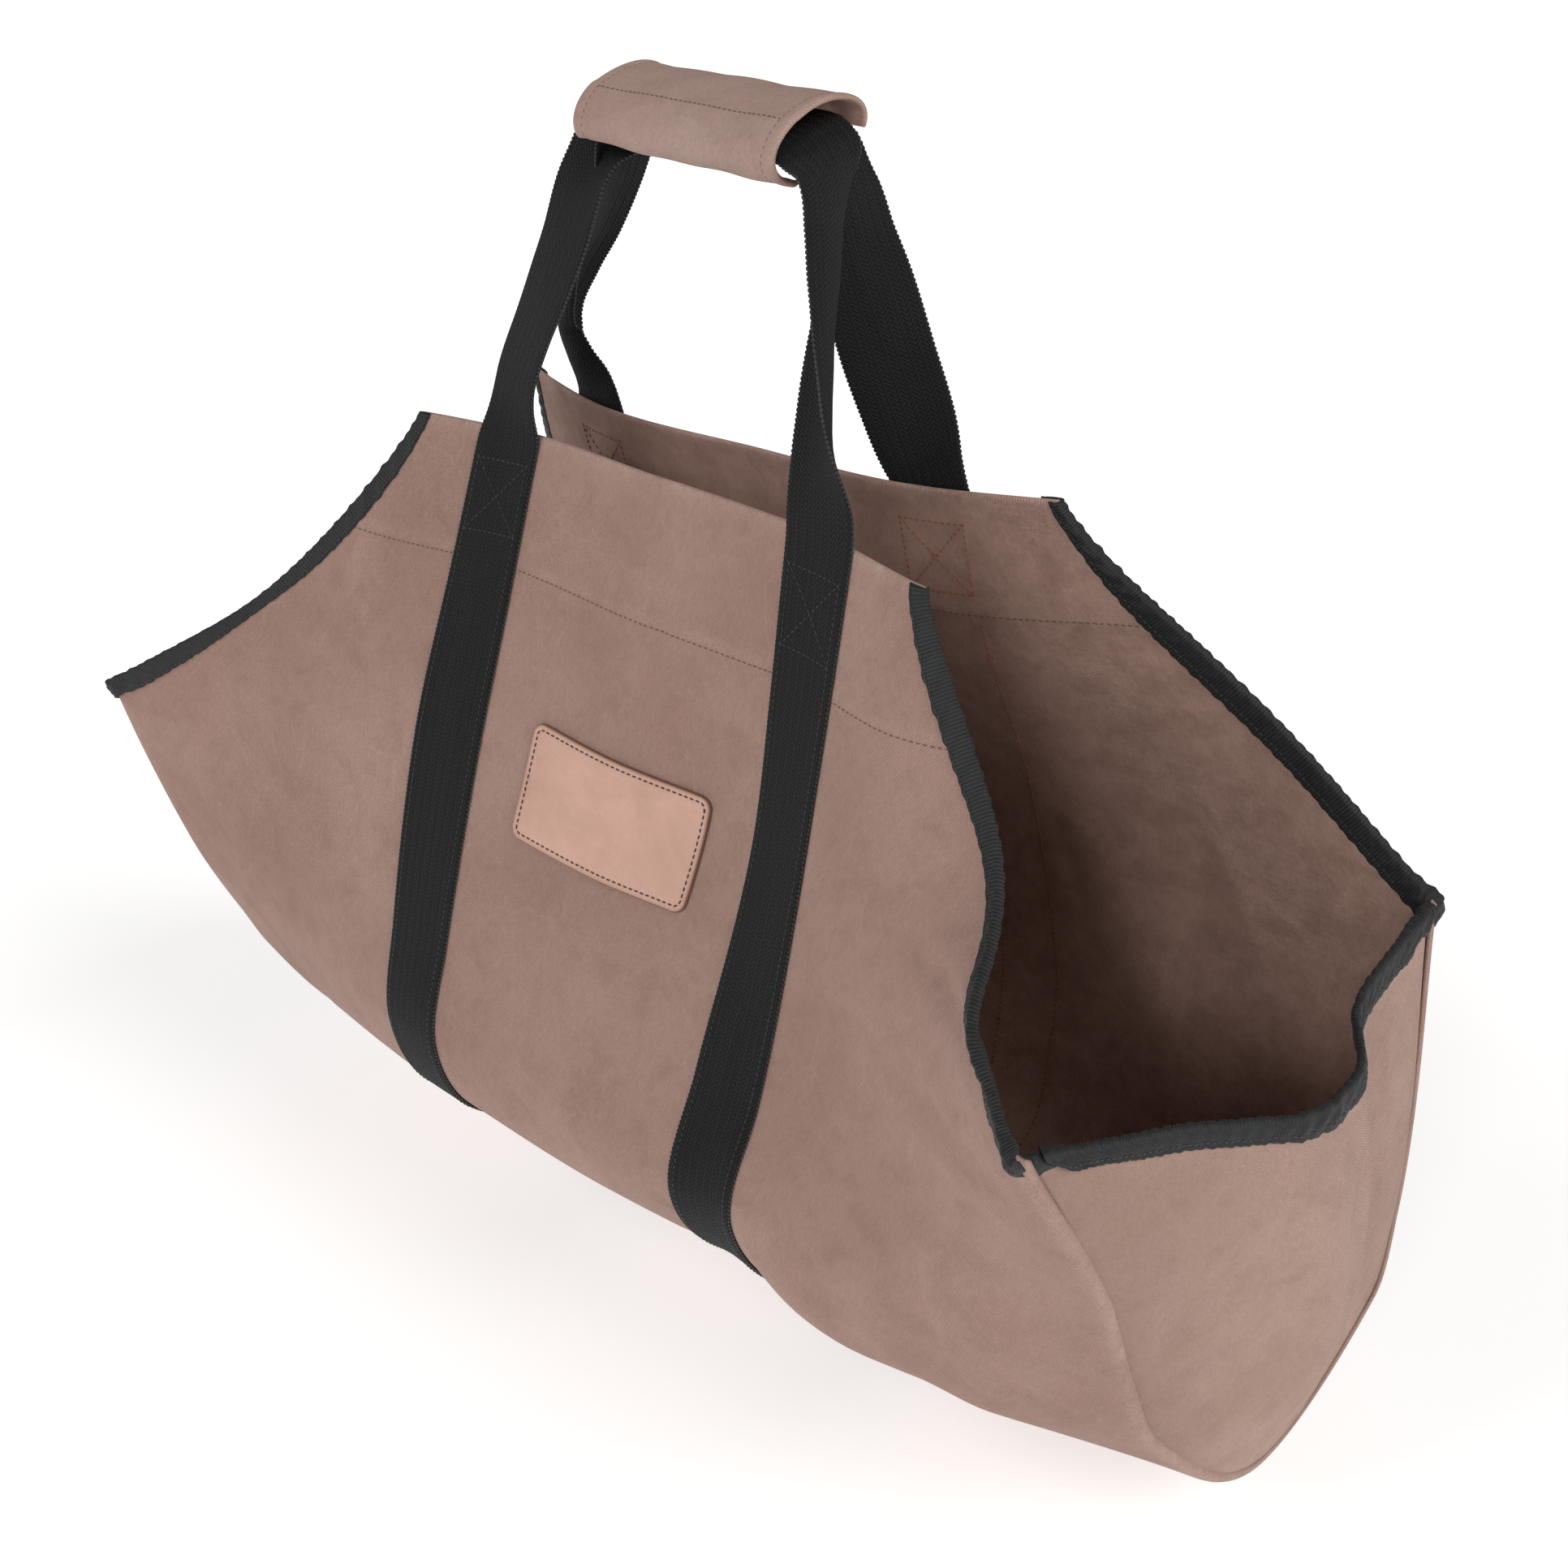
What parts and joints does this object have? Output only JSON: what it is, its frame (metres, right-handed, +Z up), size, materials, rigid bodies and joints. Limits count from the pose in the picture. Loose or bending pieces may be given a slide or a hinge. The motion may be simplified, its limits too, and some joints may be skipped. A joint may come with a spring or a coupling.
{
  "type": "log carrier",
  "caption": "Waxed canvas log carrier with rounded end panels, tape-bound scooped sides, webbing handles joined in one wrapped grip and a bare leather patch.",
  "frame": {"origin": "underside of the webbing in the middle of the grip, where a hand or a hook holds the carrier", "axes": "+X along the carrier towards its right end, +Y from the front with the patch towards the back, +Z up"},
  "size_m": [0.6678, 0.294, 0.5724],
  "materials": {
    "canvas_brown": "waxed cotton canvas, dusty brown, matt with soft creases",
    "webbing_black": "heavy ribbed cotton webbing, near black",
    "tape_charcoal": "ribbed grosgrain tape, charcoal grey",
    "leather_tan": "vegetable-tanned leather, tan, soft satin"
  },
  "bodies": {
    "root": {"canvas_sling": "canvas_brown", "end_panel_left": "canvas_brown", "end_panel_right": "canvas_brown", "webbing_front": "webbing_black", "webbing_back": "webbing_black", "grip_wrap": "canvas_brown", "leather_patch": "leather_tan", "binding_front_left": "tape_charcoal", "binding_front_right": "tape_charcoal", "binding_back_left": "tape_charcoal", "binding_back_right": "tape_charcoal", "binding_end_left": "tape_charcoal", "binding_end_right": "tape_charcoal"}
  },
  "joints": []
}
